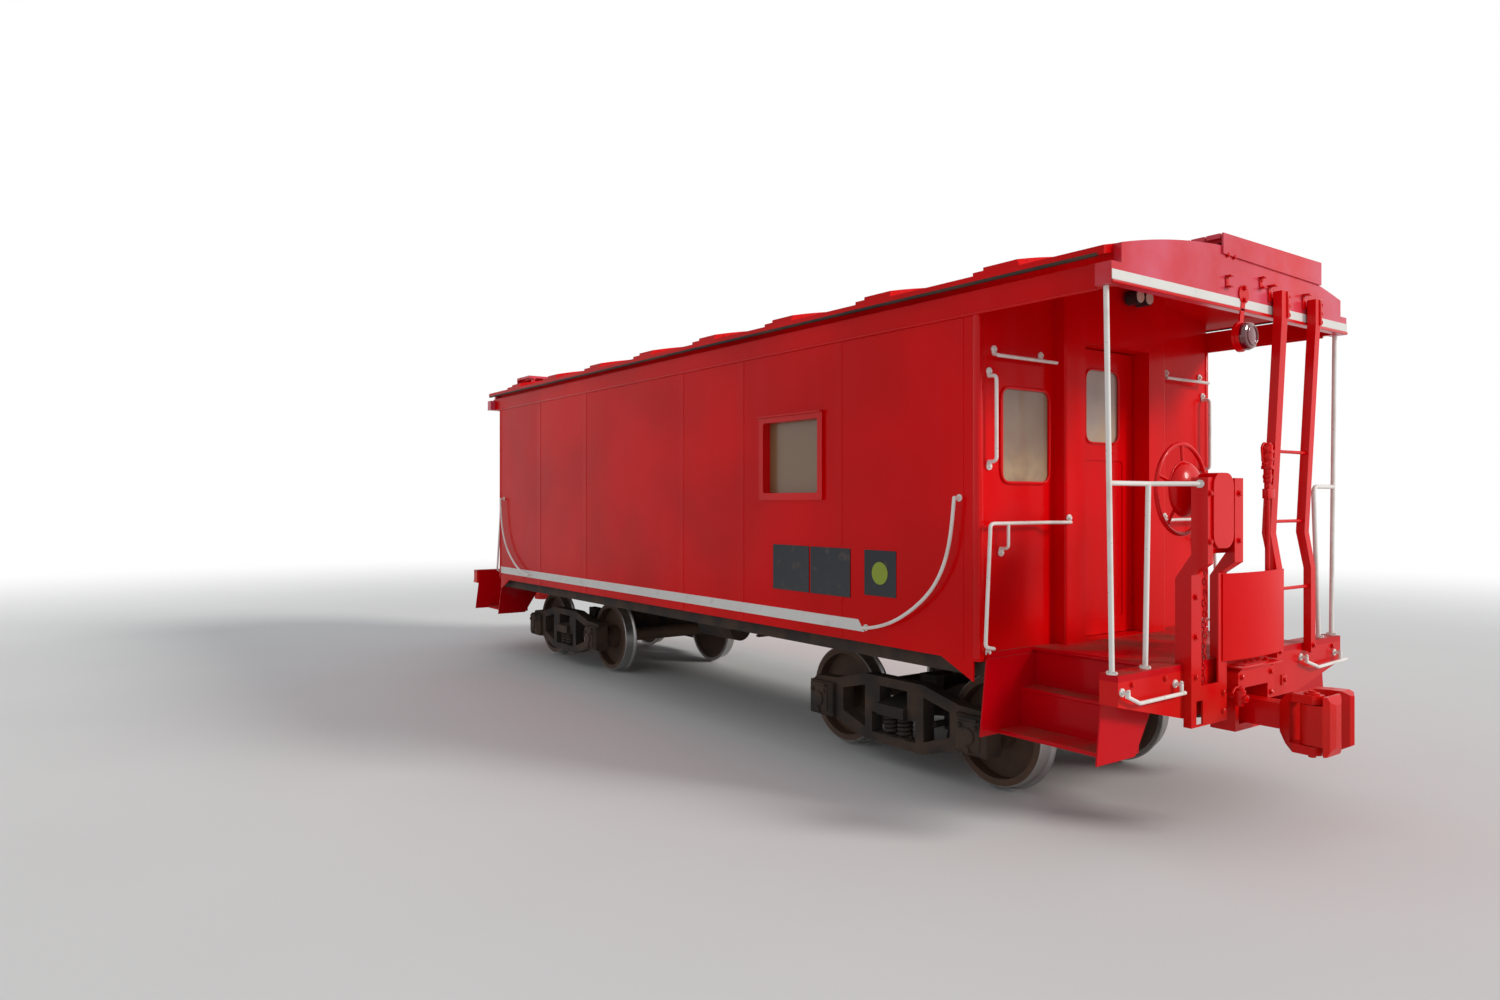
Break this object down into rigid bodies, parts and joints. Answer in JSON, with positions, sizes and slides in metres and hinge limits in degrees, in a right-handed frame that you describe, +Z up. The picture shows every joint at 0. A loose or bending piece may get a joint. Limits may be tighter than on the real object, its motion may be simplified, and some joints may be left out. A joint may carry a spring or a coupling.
{
  "type": "caboose",
  "caption": "Railway caboose: hollow steel cabin with a ribbed arched roof, end platforms with side steps, ladder, hand brake, couplers and two swivelling trucks.",
  "frame": {"origin": "on the centreline, half way between the couplers, at the height of the wheel flange tips", "axes": "+X along the car towards the end with the roofed platform, +Y to the right of someone who faces that end, +Z up"},
  "size_m": [11.86, 3.04, 3.9028],
  "materials": {
    "red_paint": "gloss",
    "white_paint": "gloss",
    "frosted_pane": "frosted",
    "wheel_steel": "worn",
    "truck_steel": "matte",
    "black_enamel": "satin",
    "floor_boards": "worn"
  },
  "bodies": {
    "carbody": {"air_brake_gear": "truck_steel", "brake_stand": "red_paint", "cabin_floor": "floor_boards", "end_rails": "white_paint", "end_shield": "red_paint", "end_sill_front": "red_paint", "end_sill_rear": "red_paint", "end_wall_front": "red_paint", "end_wall_rear": "red_paint", "fascia_front": "red_paint", "fascia_rear": "red_paint", "floodlight": "black_enamel", "grab_irons_front": "white_paint", "grab_irons_rear": "white_paint", "ladder": "red_paint", "marker_lamp_front": "red_paint", "marker_lamp_rear": "red_paint", "platform_front": "red_paint", "platform_rear": "red_paint", "roof": "red_paint", "running_board_front": "red_paint", "running_board_rear": "red_paint", "side_left": "red_paint", "side_rails": "white_paint", "side_right": "red_paint", "sill_handholds_front": "white_paint", "sill_handholds_rear": "white_paint", "steps_front": "red_paint", "steps_rear": "red_paint", "underframe": "red_paint", "window_frames": "red_paint", "window_panes": "frosted_pane"},
    "truck_front": {"truck_side_frames_front": "truck_steel", "truck_bolster_front": "truck_steel", "truck_springs_front": "truck_steel"},
    "door_front": {"door_front": "red_paint", "door_pane_front": "frosted_pane"},
    "coupler_front": {"coupler_front": "red_paint"},
    "knuckle_front": {"knuckle_front": "red_paint"},
    "truck_rear": {"truck_side_frames_rear": "truck_steel", "truck_bolster_rear": "truck_steel", "truck_springs_rear": "truck_steel"},
    "door_rear": {"door_rear": "red_paint", "door_pane_rear": "frosted_pane"},
    "coupler_rear": {"coupler_rear": "red_paint"},
    "knuckle_rear": {"knuckle_rear": "red_paint"},
    "wheelset_1": {"wheelset_1": "wheel_steel"},
    "wheelset_2": {"wheelset_2": "wheel_steel"},
    "wheelset_3": {"wheelset_3": "wheel_steel"},
    "wheelset_4": {"wheelset_4": "wheel_steel"},
    "brake_wheel": {"brake_wheel": "red_paint"}
  },
  "joints": [
    {"name": "truck_swivel_front", "type": "hinge", "parent": "carbody", "child": "truck_front", "pos_m": [3.05, 0, 0.683], "axis": [0, 0, 1], "range_deg": [-3, 3]},
    {"name": "door_swing_front", "type": "hinge", "parent": "carbody", "child": "door_front", "pos_m": [4.176, 0.4, 1.128], "axis": [0, 0, -1], "range_deg": [0, 90]},
    {"name": "coupler_swing_front", "type": "hinge", "parent": "carbody", "child": "coupler_front", "pos_m": [4.96, 0, 0.763], "axis": [0, 0, 1], "range_deg": [-7, 7]},
    {"name": "knuckle_hinge_front", "type": "hinge", "parent": "coupler_front", "child": "knuckle_front", "pos_m": [5.805, -0.125, 0.763], "axis": [0, 0, -1], "range_deg": [0, 45]},
    {"name": "truck_swivel_rear", "type": "hinge", "parent": "carbody", "child": "truck_rear", "pos_m": [-3.05, 0, 0.683], "axis": [0, 0, 1], "range_deg": [-3, 3]},
    {"name": "door_swing_rear", "type": "hinge", "parent": "carbody", "child": "door_rear", "pos_m": [-4.176, -0.4, 1.128], "axis": [0, 0, -1], "range_deg": [0, 90]},
    {"name": "coupler_swing_rear", "type": "hinge", "parent": "carbody", "child": "coupler_rear", "pos_m": [-4.96, 0, 0.763], "axis": [0, 0, 1], "range_deg": [-7, 7]},
    {"name": "knuckle_hinge_rear", "type": "hinge", "parent": "coupler_rear", "child": "knuckle_rear", "pos_m": [-5.805, 0.125, 0.763], "axis": [0, 0, -1], "range_deg": [0, 45]},
    {"name": "axle_1", "type": "hinge", "parent": "truck_front", "child": "wheelset_1", "pos_m": [3.888, 0, 0.447], "axis": [0, 1, 0], "continuous": true},
    {"name": "axle_2", "type": "hinge", "parent": "truck_front", "child": "wheelset_2", "pos_m": [2.212, 0, 0.447], "axis": [0, 1, 0], "continuous": true},
    {"name": "axle_3", "type": "hinge", "parent": "truck_rear", "child": "wheelset_3", "pos_m": [-3.888, 0, 0.447], "axis": [0, 1, 0], "continuous": true},
    {"name": "axle_4", "type": "hinge", "parent": "truck_rear", "child": "wheelset_4", "pos_m": [-2.212, 0, 0.447], "axis": [0, 1, 0], "continuous": true},
    {"name": "brake_wheel_turn", "type": "hinge", "parent": "carbody", "child": "brake_wheel", "pos_m": [5.18, -0.53, 2.228], "axis": [1, 0, 0], "continuous": true}
  ]
}
